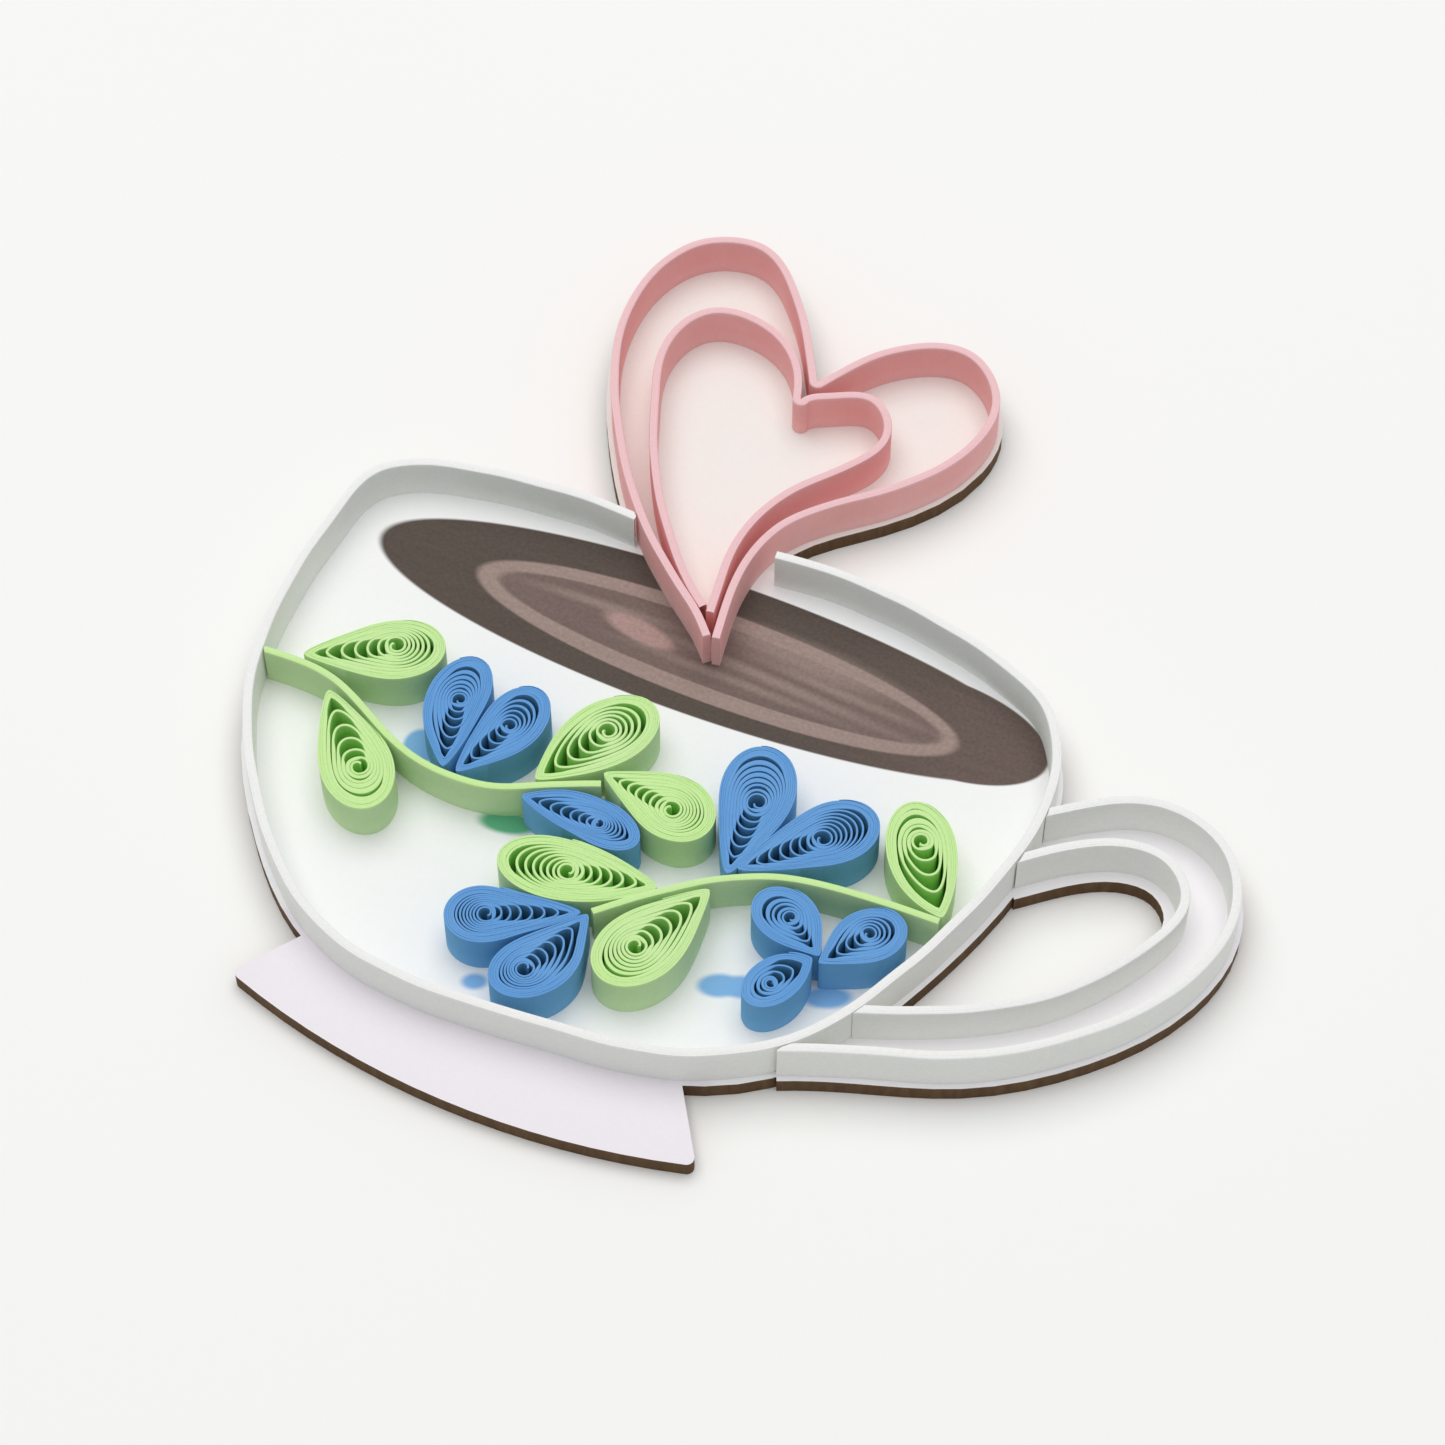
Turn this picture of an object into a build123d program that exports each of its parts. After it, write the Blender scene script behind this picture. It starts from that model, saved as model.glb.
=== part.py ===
"""Quilled paper teacup with a heart of steam, leaves and flowers.

Rolled and folded paper strips stand on edge on a flat card cut to the teacup's outline.
The piece lies on its back: the card's back is on z = 0, +X runs along the cup's rim
towards the handle and +Y up towards the heart. Points are given from the drawing's zero,
on the cup's axis at the height of the rim's corners. The sheet plane shifts them, so that
the model's origin is the middle of the card's back.
"""

import os
from math import atan2, cos, degrees, dist, exp, hypot, pi, radians, sin

from build123d import *

os.makedirs("parts", exist_ok=True)

# Card and paper thicknesses, millimetres
board_thickness = 2.0
board_margin = 0.6
strip_height = 5.0
cup_paper = 1.0
handle_paper = 1.0
heart_paper = 0.9
stem_paper = 0.8
coil_paper = 0.2
glue_gap = 0.08

# Straight bends between two points of a curved line, and sides of a printed oval
bend_steps = 4
oval_sides = 24
same_place = 0.01

# Card left round the handle's hole, inside the inner strip
hole_ledge = 1.2

# Card foot under the cup, which reaches up behind the cup's lowest point
foot_middle = -0.5
foot_lap = 3.0
foot_neck = 20.6
foot_height = 8.0
foot_half_width = 26.0
foot_bulge = 4.0
foot_rounding = 0.8

# Printed coffee, flush with the card's face
print_depth = 0.1
coffee_middle = (0.2, -1.5)
coffee_half_length = 38.5
coffee_half_width = 8.8
coffee_tilt = 2.0
swirl_middle = (1.6, -1.7)
swirl_half_length = 27.5
swirl_half_width = 5.6
swirl_band = 1.7
cream_middle = (-7.4, -2.6)
cream_half_length = 4.2
cream_half_width = 1.3
cream_tilt = -8.0

# Rolled coils: solid band of outer turns, open eye, turns pressed together along the flanks
# and round noses towards the tip, and the spread of the pinched tip
outer_band = 0.8
tip_band = 1.0
pressed_pitch = 0.26
smallest_eye = 0.45
largest_eye = 1.1
back_opening = 1.5
nose_opening = 1.1
nose_spread = 1.2
nose_blend = 14
tip_blend = 12
tip_spread = radians(16)
least_slot = 0.07
turn_angles = (8, 28, 75, 145, 215, 285, 332, 352)
half_outline_angles = (0, 6, 13, 23, 37, 54, 72, 92, 113, 135, 157)

# Middle lines of the folded strips
cup_line = [
    (-12.6, 8.5), (-21.8, 7.7), (-30.7, 6.3), (-36.5, 4.5), (-40.4, 1.4), (-42.2, -5.0),
    (-42.4, -15.0), (-39.3, -29.8), (-30.6, -42.8), (-22.8, -49.6), (-13.7, -53.0),
    (4.5, -52.5), (19.0, -49.9), (29.6, -43.0), (35.4, -32.7), (39.3, -21.6), (41.2, -8.0),
    (40.3, -2.8), (36.9, 2.7), (25.0, 7.9), (8.9, 10.4), (0.7, 10.1),
]
handle_outer_line = [
    (41.2, -9.0), (44.5, -6.3), (50.0, -3.1), (56.5, -3.0), (61.2, -6.3), (63.4, -12.0),
    (62.0, -20.5), (55.0, -30.6), (45.0, -38.2), (35.0, -42.2), (28.2, -45.1),
]
handle_inner_line = [
    (40.7, -15.4), (45.0, -11.6), (50.0, -8.7), (55.0, -8.6), (58.2, -12.0), (57.0, -18.5),
    (50.0, -28.4), (40.0, -35.0), (32.8, -38.2),
]
heart_outer_left = [
    (0.9, -3.3), (-1.2, -1.2), (-4.8, 1.6), (-13.6, 9.6), (-20.5, 19.2), (-25.4, 30.0),
    (-25.9, 38.5), (-22.8, 45.4), (-16.3, 47.7), (-10.5, 43.7), (-5.2, 36.2), (-2.7, 32.5),
]
heart_outer_right = [
    (-2.7, 32.5), (-0.5, 35.8), (4.9, 41.7), (10.6, 43.5), (16.0, 39.0), (16.4, 32.6),
    (9.8, 21.9), (2.3, 13.8), (0.5, 6.9), (1.0, 1.5), (1.9, -3.2),
]
heart_inner_left = [
    (-1.1, 0.0), (-3.6, 2.0), (-6.4, 4.8), (-12.8, 13.1), (-18.4, 24.5), (-20.0, 30.8),
    (-17.5, 36.9), (-11.7, 37.7), (-6.3, 34.6), (-3.6, 30.2),
]
heart_inner_right = [
    (-3.6, 30.2), (-0.9, 31.2), (3.7, 33.1), (7.1, 29.6), (5.6, 24.2), (1.4, 18.5),
    (-1.3, 11.0), (-0.9, 4.0), (-0.1, -0.4),
]
stem_left_line = [
    (-41.1, -24.6), (-35.5, -24.3), (-31.8, -24.8), (-23.0, -28.9), (-14.4, -30.3),
    (-10.0, -29.3), (-5.7, -27.0), (-1.0, -24.7),
]
stem_right_line = [
    (4.9, -38.8), (8.0, -35.7), (13.5, -30.9), (20.6, -27.1), (30.5, -25.5), (36.9, -25.1),
]

# Foot's heights, from the cup's lowest point
foot_top = min(height for _, height in cup_line) + foot_lap
foot_corner = foot_top - foot_height
foot_bottom = foot_corner - foot_bulge

# Coils: tip, middle, half length at the back, half width, lean in degrees, eye, turns
leaf_coils = [
    ((-36.5, -23.4), (-27.6, -18.6), 5.0, 3.9, 2, (-28.0, -18.2), 7),
    ((-32.0, -26.1), (-24.6, -33.6), 5.3, 3.9, -1, (-24.4, -33.4), 5),
    ((-7.4, -27.2), (-3.1, -18.6), 5.8, 4.1, -4, (-3.2, -18.5), 6),
    ((-1.5, -23.4), (7.0, -24.2), 4.7, 3.9, -10, (7.0, -24.5), 8),
    ((9.7, -33.5), (-1.0, -35.8), 6.0, 3.8, -3, (0.5, -35.6), 8),
    ((14.5, -31.5), (10.9, -40.6), 5.4, 4.2, -2, (10.6, -40.7), 7),
    ((37.1, -24.7), (31.8, -18.0), 5.9, 3.7, -7, (31.5, -17.1), 5),
]
petal_coils = [
    ((-16.6, -29.8), (-19.4, -20.9), 5.0, 3.3, -15, (-18.9, -21.5), 7),
    ((-15.2, -29.8), (-12.5, -21.3), 4.6, 3.3, 13, (-12.7, -22.2), 6),
    ((-7.9, -29.5), (0.9, -29.0), 4.8, 2.7, -12, (1.0, -29.2), 8),
    ((15.3, -29.2), (13.8, -18.3), 5.3, 4.0, 8, (14.5, -19.9), 8),
    ((15.9, -28.2), (23.2, -19.8), 4.7, 3.8, 1, (22.4, -21.1), 8),
    ((4.0, -39.4), (-5.1, -43.8), 3.9, 3.5, -3, (-4.7, -43.6), 8),
    ((4.7, -39.3), (2.3, -47.0), 4.8, 3.6, -21, (1.7, -47.7), 7),
    ((27.8, -33.9), (22.6, -31.0), 3.9, 3.2, 10, (23.2, -31.0), 5),
    ((27.9, -34.8), (31.3, -29.5), 3.9, 3.2, -9, (31.2, -29.4), 5),
    ((27.2, -34.4), (24.7, -38.4), 3.8, 2.7, 9, (24.6, -38.8), 4),
]


def bends(points):
    """Smooth curve through the points, as short straight bends between them."""
    curve = Spline(*points, mode=Mode.PRIVATE)
    chords = [dist(start, end) for start, end in zip(points, points[1:])]
    places = [0]
    for chord in chords:
        start = places[-1]
        places += [start + chord * step / bend_steps for step in range(1, bend_steps + 1)]
    return [curve @ (place / places[-1]) for place in places]


def trace_strip(points, width, mode=Mode.ADD):
    """Footprint of a strip of this width along a curve, in the sketch that is open."""
    with BuildLine() as path:
        Polyline(*bends(points))
    trace(path.line, line_width=width, mode=mode)


def fill_loop(*lines, mode=Mode.ADD):
    """Area inside the lines, joined end to end and closed by a straight edge if open."""
    with BuildLine() as loop:
        for points in lines:
            Polyline(*bends(points))
        if (loop.line @ 1 - loop.line @ 0).length > same_place:
            Line(loop.line @ 1, loop.line @ 0)
    make_face(loop.edges(), mode=mode)


def fill_oval(middle, half_length, half_width, tilt, mode=Mode.ADD):
    """Many-sided oval in the sketch that is open."""
    turn = radians(tilt)
    corners = []
    for side in range(oval_sides):
        angle = 2 * pi * side / oval_sides
        along = half_length * cos(angle)
        across = half_width * sin(angle)
        corners.append((
            middle[0] + along * cos(turn) - across * sin(turn),
            middle[1] + along * sin(turn) + across * cos(turn),
        ))
    with BuildLine() as rim:
        Polyline(*corners, close=True)
    make_face(rim.edges(), mode=mode)


# Card's outline, in the drawing's own place, to find its middle
with BuildSketch() as card_outline:
    with BuildLine() as foot:
        right_neck = Line((foot_middle + foot_neck, foot_top), (foot_middle + foot_half_width, foot_corner))
        ThreePointArc(
            right_neck @ 1, (foot_middle, foot_bottom), (foot_middle - foot_half_width, foot_corner)
        )
        Line((foot_middle - foot_half_width, foot_corner), (foot_middle - foot_neck, foot_top))
        Line((foot_middle - foot_neck, foot_top), right_neck @ 0)
    make_face()
    corners = card_outline.vertices().filter_by(lambda corner: abs(corner.Y - foot_corner) < same_place)
    fillet(corners, radius=foot_rounding)
    fill_loop(cup_line)
    trace_strip(cup_line, cup_paper + 2 * board_margin)
    fill_loop(heart_outer_left, heart_outer_right)
    trace_strip(heart_outer_left, heart_paper + 2 * board_margin)
    trace_strip(heart_outer_right, heart_paper + 2 * board_margin)
    fill_loop(handle_outer_line)
    trace_strip(handle_outer_line, handle_paper + 2 * board_margin)

# Handle's hole: what the inner strip's ledge and the cup leave open
with BuildSketch() as handle_hole:
    fill_loop(handle_inner_line)
    trace_strip(handle_inner_line, handle_paper + 2 * hole_ledge, mode=Mode.SUBTRACT)
    trace_strip(cup_line, cup_paper + 2 * board_margin, mode=Mode.SUBTRACT)
    fill_loop(cup_line, mode=Mode.SUBTRACT)

card_middle = card_outline.sketch.bounding_box().center()
sheet = Plane(origin=(-card_middle.X, -card_middle.Y, 0))
face = sheet.offset(board_thickness)
print_bed = face.offset(-print_depth)

# Printed coffee, left bare inside the heart, which stands in front of it
with BuildSketch() as coffee_oval:
    fill_oval(coffee_middle, coffee_half_length, coffee_half_width, coffee_tilt)
    fill_loop(heart_outer_left, heart_outer_right, mode=Mode.SUBTRACT)

# Card
with BuildPart() as backing_board:
    with BuildSketch(sheet):
        add(card_outline.sketch)
        add(handle_hole.sketch, mode=Mode.SUBTRACT)
    extrude(amount=board_thickness)
    with BuildSketch(print_bed):
        add(coffee_oval.sketch)
    extrude(amount=print_depth, mode=Mode.SUBTRACT)
backing_board.part.label = "backing_board"
export_step(backing_board.part, "parts/backing_board.step")

# Swirl of cream on the printed coffee: a ring and a fleck inside it
with BuildSketch() as coffee_swirl:
    fill_oval(swirl_middle, swirl_half_length, swirl_half_width, coffee_tilt)
    fill_oval(
        swirl_middle, swirl_half_length - swirl_band, swirl_half_width - swirl_band, coffee_tilt,
        mode=Mode.SUBTRACT,
    )
    fill_oval(cream_middle, cream_half_length, cream_half_width, cream_tilt)
    fill_loop(heart_outer_left, heart_outer_right, mode=Mode.SUBTRACT)

with BuildPart() as coffee_swirl_print:
    with BuildSketch(print_bed):
        add(coffee_swirl.sketch)
    extrude(amount=print_depth)
coffee_swirl_print.part.label = "coffee_swirl_print"
export_step(coffee_swirl_print.part, "parts/coffee_swirl_print.step")

# Printed coffee round the swirl
with BuildPart() as coffee_print:
    with BuildSketch(print_bed):
        add(coffee_oval.sketch)
        add(coffee_swirl.sketch, mode=Mode.SUBTRACT)
    extrude(amount=print_depth)
coffee_print.part.label = "coffee_print"
export_step(coffee_print.part, "parts/coffee_print.step")


def strip_on_edge(name, legs, paper, butts_on=()):
    """One strip stood on edge: its legs, folded where they meet, and cut to what it butts on."""
    with BuildPart() as strip:
        with BuildSketch(face):
            with BuildLine() as path:
                for leg in legs:
                    Polyline(*bends(leg))
            trace(path.line, line_width=paper)
            for line, width in butts_on:
                trace_strip(line, width + 2 * glue_gap, mode=Mode.SUBTRACT)
        extrude(amount=strip_height)
    strip.part.label = name
    export_step(strip.part, f"parts/{name}.step")
    return strip.part


heart_outer_legs = [heart_outer_left, heart_outer_right]
on_heart = [(leg, heart_paper) for leg in heart_outer_legs]
on_cup = [(cup_line, cup_paper)]

strip_on_edge("heart_outer_strip", heart_outer_legs, heart_paper)
strip_on_edge(
    "heart_inner_strip", [heart_inner_left, heart_inner_right], heart_paper, butts_on=on_heart
)
strip_on_edge("cup_outline_strip", [cup_line], cup_paper, butts_on=on_heart)
strip_on_edge("handle_outer_strip", [handle_outer_line], handle_paper, butts_on=on_cup)
strip_on_edge("handle_inner_strip", [handle_inner_line], handle_paper, butts_on=on_cup)
strip_on_edge("stem_left", [stem_left_line], stem_paper, butts_on=on_cup)
strip_on_edge("stem_right", [stem_right_line], stem_paper, butts_on=on_cup)


def edge_distance(angle, reach, back, flank, lean):
    """Distance from a coil's middle to its edge: a leaning oval drawn out to a tip."""
    def oval(turned):
        return back * flank / hypot(flank * cos(turned - lean), back * sin(turned - lean))
    return oval(angle) + (reach - oval(0)) * exp(-abs(angle) / tip_spread)


def rolled_coil(name, tip, middle, back, flank, lean, eye, turns):
    """One strip rolled up, let loose and pinched at its tip, with its turns as a spiral."""
    middle = Vector(*middle)
    eye = Vector(*eye)
    axis = Vector(*tip) - middle
    heading = degrees(atan2(axis.Y, axis.X))
    lean = radians(lean)

    def ray(angle):
        return Vector(1, 0).rotate(Axis.Z, heading + degrees(angle))

    def outer_point(angle):
        return middle + ray(angle) * edge_distance(angle, axis.length, back, flank, lean)

    inner_reach = axis.length - tip_band
    inner_back = back - outer_band
    inner_flank = flank - outer_band
    eye_radius = min(max(inner_flank - turns * pressed_pitch, smallest_eye), largest_eye)

    def turn_point(winding):
        """Point of a turn, from the eye's rim at winding 1 to the solid band at the last."""
        level = (winding - 1) / (turns - 1)
        angle = (2 * pi * winding + pi) % (2 * pi) - pi
        reach = inner_reach - 2 * (1 - level) * (inner_flank - eye_radius)
        half_length = eye_radius + (inner_back - eye_radius) * level**back_opening
        half_width = eye_radius + (inner_flank - eye_radius) * level
        hugging = edge_distance(angle, reach, half_length, half_width, lean)
        nose_length = eye_radius + (inner_reach - eye_radius) * level**nose_opening
        nose_width = nose_spread * half_width
        nose = nose_length * nose_width / hypot(nose_width * cos(angle), nose_length * sin(angle))
        rounded = (hugging**-nose_blend + nose**-nose_blend) ** (-1 / nose_blend)
        pinched = edge_distance(angle, inner_reach, inner_back, inner_flank, lean)
        distance = rounded + (pinched - rounded) * level**tip_blend
        return eye + (middle - eye) * level + ray(angle) * distance

    left = [outer_point(radians(a)) for a in half_outline_angles]
    right = [outer_point(-radians(a)) for a in reversed(half_outline_angles[1:])]
    back_point = outer_point(pi)

    slot_outside = []
    slot_inside = []
    for turn in range(turns):
        for angle in turn_angles:
            winding = min(turn + angle / 360, turns - 1)
            here = turn_point(winding) if turn > 0 else eye
            next_turn = turn_point(winding + 1)
            pitch = (next_turn - here).length
            slot = max(least_slot, pitch - coil_paper)
            slot_outside.append(here + (next_turn - here) * (slot / pitch))
            if turn > 0:
                slot_inside.append(here)
            if winding == turns - 1:
                break

    with BuildPart() as coil:
        with BuildSketch(face):
            with BuildLine():
                Polyline(*left, back_point, *right, close=True)
            make_face()
            with BuildLine():
                Polyline(*slot_outside, *reversed(slot_inside), close=True)
            make_face(mode=Mode.SUBTRACT)
        extrude(amount=strip_height)
    coil.part.label = name
    export_step(coil.part, f"parts/{name}.step")
    return coil.part


for number, coil in enumerate(leaf_coils, start=1):
    rolled_coil(f"leaf_coil_{number}", *coil)
for number, coil in enumerate(petal_coils, start=1):
    rolled_coil(f"petal_coil_{number}", *coil)
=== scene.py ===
"""Looks of the quilled paper teacup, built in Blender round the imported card.

Sizes in millimetres are read from the drawing's zero, on the cup's axis at the height of the
rim's corners, as in the part's source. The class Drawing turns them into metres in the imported
frame, whose origin is the middle of the card's back: +X runs along the rim towards the handle,
+Y up towards the heart, and +Z out of the card.
"""

from __future__ import annotations

import logging
from dataclasses import dataclass
from enum import Enum

import bpy
import numpy as np
from mathutils import Matrix, Vector


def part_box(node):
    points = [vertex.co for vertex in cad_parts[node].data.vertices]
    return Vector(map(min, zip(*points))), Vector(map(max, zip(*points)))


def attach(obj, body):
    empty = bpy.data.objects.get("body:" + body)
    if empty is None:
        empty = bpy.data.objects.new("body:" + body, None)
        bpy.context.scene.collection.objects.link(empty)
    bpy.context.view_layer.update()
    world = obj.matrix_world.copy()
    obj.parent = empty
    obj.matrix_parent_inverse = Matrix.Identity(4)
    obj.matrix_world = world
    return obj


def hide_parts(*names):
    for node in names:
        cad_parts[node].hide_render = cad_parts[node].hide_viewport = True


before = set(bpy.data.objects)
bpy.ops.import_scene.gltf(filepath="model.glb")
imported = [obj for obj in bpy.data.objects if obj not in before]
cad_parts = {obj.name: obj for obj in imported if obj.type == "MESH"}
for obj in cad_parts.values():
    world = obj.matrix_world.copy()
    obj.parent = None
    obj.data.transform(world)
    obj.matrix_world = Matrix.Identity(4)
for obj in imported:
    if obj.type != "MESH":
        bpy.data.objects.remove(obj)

log = logging.getLogger("quilled_teacup")

Place = tuple[float, float]
Point = tuple[float, float, float]
Line = tuple[Place, ...]
Colour = tuple[float, float, float]

BODY = "root"
PRINTED_NODES = ("backing_board", "coffee_print", "coffee_swirl_print")


class Slot(Enum):
    """Material slots of the record that new pieces take their finish from."""

    WHITE = "white_paper"
    PINK = "pink_paper"
    GREEN = "green_paper"
    BLUE = "blue_paper"


# Sheet of the drawing


@dataclass(frozen=True)
class Drawing:
    """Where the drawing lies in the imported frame, and the heights that the frame gives.

    Attributes:
        face: Height of the card's face, in millimetres.
        top: Height of the strips' upper edges, in millimetres.
        middle: The card's middle in the drawing, in millimetres.
    """

    face: float
    top: float
    middle: Place = (10.493, -6.616)

    @classmethod
    def from_frame(cls) -> Drawing:
        """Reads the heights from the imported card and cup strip."""
        return cls(
            face=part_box("backing_board")[1].z * 1000,
            top=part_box("cup_outline_strip")[1].z * 1000,
        )

    def to_frame(self, points: np.ndarray) -> np.ndarray:
        """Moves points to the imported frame.

        Args:
            points: Array whose last axis holds x, y and height in millimetres.

        Returns:
            The same array in metres, from the middle of the card's back.
        """
        return (points - np.array((*self.middle, 0.0))) / 1000


# Lines and meshes

# Samples of a spline for each one kept
SPLINE_SAMPLES = 4
# How far from a fold its legs' headings are read, in its radii
FOLD_REACH = 4
# How far from a fold its legs are kept, as a share of where the round touches them
FOLD_CLEARANCE = 1.1
# Samples of a fold's round
FOLD_SAMPLES = 14
# Largest angle between faces that are shaded as one, in radians
SMOOTH_ANGLE = float(np.radians(38))


def smooth_line(points: Line, spacing: float) -> np.ndarray:
    """Follows a natural cubic spline through the points, at even steps.

    Between two points a chord h apart, at distance t from the first and r from the second,
    the line is the straight mix of both plus (t^3 - h^2 t) / 6h times the bend at the second
    and (r^3 - h^2 r) / 6h times the bend at the first. The bends are second derivatives that
    make neighbouring stretches meet without a change of slope, and vanish at both ends.

    Args:
        points: The line's points, in millimetres.
        spacing: Wanted distance between samples, in millimetres.

    Returns:
        Samples of the line, as an array of x and y.
    """
    knots = np.array(points, float)
    chords = np.linalg.norm(np.diff(knots, axis=0), axis=1)
    stations = np.concatenate(([0.0], np.cumsum(chords)))
    inner = np.arange(1, len(knots) - 1)
    system = np.eye(len(knots))
    system[inner, inner - 1] = chords[:-1]
    system[inner, inner] = 2 * (chords[:-1] + chords[1:])
    system[inner, inner + 1] = chords[1:]
    pull = np.zeros_like(knots)
    pull[inner] = 6 * np.diff(np.diff(knots, axis=0) / chords[:, None], axis=0)
    bends = np.linalg.solve(system, pull)

    places = np.linspace(0, stations[-1], int(stations[-1] / spacing) * SPLINE_SAMPLES)
    span = np.clip(np.searchsorted(stations, places, side="right") - 1, 0, len(chords) - 1)
    h = chords[span][:, None]
    t = (places - stations[span])[:, None]
    r = h - t
    line = (knots[span] * r + knots[span + 1] * t) / h
    line += bends[span] * (r**3 - h**2 * r) / (6 * h)
    line += bends[span + 1] * (t**3 - h**2 * t) / (6 * h)
    return even_line(line, spacing)


def line_stations(line: np.ndarray) -> np.ndarray:
    """Distance of each sample from the line's start, along the line."""
    return np.concatenate(([0.0], np.cumsum(np.linalg.norm(np.diff(line, axis=0), axis=1))))


def along_line(line: np.ndarray, stations: np.ndarray, places: np.ndarray) -> np.ndarray:
    """Reads a line, or a value kept beside it, at the given distances from its start."""
    return np.stack(
        [np.interp(places, stations, line[:, axis]) for axis in range(line.shape[1])], axis=-1
    )


def even_line(line: np.ndarray, spacing: float) -> np.ndarray:
    """Samples a line again, at equal distances along it."""
    stations = line_stations(line)
    places = np.linspace(0, stations[-1], max(int(stations[-1] / spacing), 2))
    return along_line(line, stations, places)


def fold_legs(first: np.ndarray, second: np.ndarray, radius: float) -> np.ndarray:
    """Joins two legs that meet in a fold, with a round of the given radius.

    With half the angle between the legs as phi, the round touches each leg radius / tan(phi)
    from the corner, and its centre lies radius / sin(phi) from the corner between the legs.

    Args:
        first: Samples of the leg that ends in the corner.
        second: Samples of the leg that starts there.
        radius: Radius of the round along the paper's middle, in millimetres.

    Returns:
        Samples of both legs and the round.
    """
    corner = second[0]

    def beyond(leg: np.ndarray, distance: float) -> np.ndarray:
        """The leg's samples that lie further than this from the corner."""
        return leg[np.linalg.norm(leg - corner, axis=1) > distance]

    back = beyond(first, FOLD_REACH * radius)[-1] - corner
    ahead = beyond(second, FOLD_REACH * radius)[0] - corner
    back /= np.linalg.norm(back)
    ahead /= np.linalg.norm(ahead)
    half = np.arccos(np.clip(back @ ahead, -1, 1)) / 2
    touch = radius / np.tan(half)
    inward = (back + ahead) / np.linalg.norm(back + ahead)
    centre = corner + inward * radius / np.sin(half)
    start = corner + back * touch - centre
    end = corner + ahead * touch - centre
    turn = np.arctan2(start[0] * end[1] - start[1] * end[0], start @ end)
    angles = np.arctan2(start[1], start[0]) + np.linspace(0, turn, FOLD_SAMPLES)
    arc = centre + radius * np.stack((np.cos(angles), np.sin(angles)), axis=-1)
    clear = touch * FOLD_CLEARANCE
    return np.concatenate((beyond(first, clear), arc, beyond(second, clear)))


def left_of(line: np.ndarray) -> np.ndarray:
    """Unit normals to the left of a line's direction."""
    ahead = np.gradient(line, axis=0)
    ahead /= np.linalg.norm(ahead, axis=1)[:, None]
    return np.stack((-ahead[:, 1], ahead[:, 0]), axis=-1)


def ripple(places: np.ndarray, seed: int, waves: tuple[float, ...]) -> np.ndarray:
    """Gives an uneven wave between about -1 and 1, as a mean of sines.

    Args:
        places: Where along the paper the wave is read, in millimetres.
        seed: Number that picks the wave's phases.
        waves: Wavelengths in millimetres.

    Returns:
        One value for each place.
    """
    phases = np.random.default_rng(seed).uniform(0, 2 * np.pi, len(waves))
    angles = places[..., None] * 2 * np.pi / np.array(waves) + phases
    return np.sin(angles).mean(axis=-1)


def ribbon_mesh(name: str, grid: np.ndarray, marks: dict[str, np.ndarray]) -> bpy.types.Mesh:
    """Makes a closed ribbon from sections that follow each other.

    Args:
        name: Name of the mesh.
        grid: Points in metres by section, place in the section and axis. A section goes up
            the right side of the ribbon's direction, over its top and down the left side.
        marks: Values for each point that the material reads, by the attribute's name.

    Returns:
        The mesh, with the marks as attributes on its points.
    """
    rows, ring = grid.shape[:2]
    row, place = np.meshgrid(np.arange(rows - 1), np.arange(ring), indexing="ij")
    after = (place + 1) % ring
    this, following = row * ring, (row + 1) * ring
    corners = (this + place, following + place, following + after, this + after)
    faces = np.stack(corners, axis=-1).reshape(-1, 4).tolist()
    faces.append(list(range(ring)))
    faces.append(list(range(rows * ring - 1, (rows - 1) * ring - 1, -1)))
    mesh = bpy.data.meshes.new(name)
    mesh.from_pydata(grid.reshape(-1, 3).tolist(), [], faces)
    for label, values in marks.items():
        mesh.attributes.new(label, "FLOAT", "POINT").data.foreach_set("value", values.ravel())
    mesh.polygons.foreach_set("use_smooth", [True] * len(mesh.polygons))
    mesh.set_sharp_from_angle(angle=SMOOTH_ANGLE)
    mesh.update()
    return mesh


def add_object(name: str, data: bpy.types.ID) -> bpy.types.Object:
    """Puts an object with this mesh, lamp or camera in the scene."""
    thing = bpy.data.objects.new(name, data)
    bpy.context.scene.collection.objects.link(thing)
    return thing


def add_piece(mesh: bpy.types.Mesh, node: str, material: bpy.types.Material) -> None:
    """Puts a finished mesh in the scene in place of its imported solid.

    Args:
        mesh: Mesh in metres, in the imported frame.
        node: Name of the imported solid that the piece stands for.
        material: Its material.
    """
    mesh.materials.append(material)
    piece = add_object(f"{node}_paper", mesh)
    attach(piece, BODY)
    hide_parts(node)
    log.info("%s: %d faces", piece.name, len(mesh.polygons))


# Materials

# Share of light that paper and card throw back as gloss
PAPER_GLOSS = 0.25


def ink(red: float, green: float, blue: float) -> Colour:
    """Turns a colour as seen on screen, 0 to 255, into linear light."""
    seen = np.array((red, green, blue)) / 255
    linear = np.where(seen <= 0.04045, seen / 12.92, ((seen + 0.055) / 1.055) ** 2.4)
    return tuple(float(value) for value in linear)


Socket = bpy.types.NodeSocket
Value = Socket | float
Tint = Socket | Colour


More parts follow.
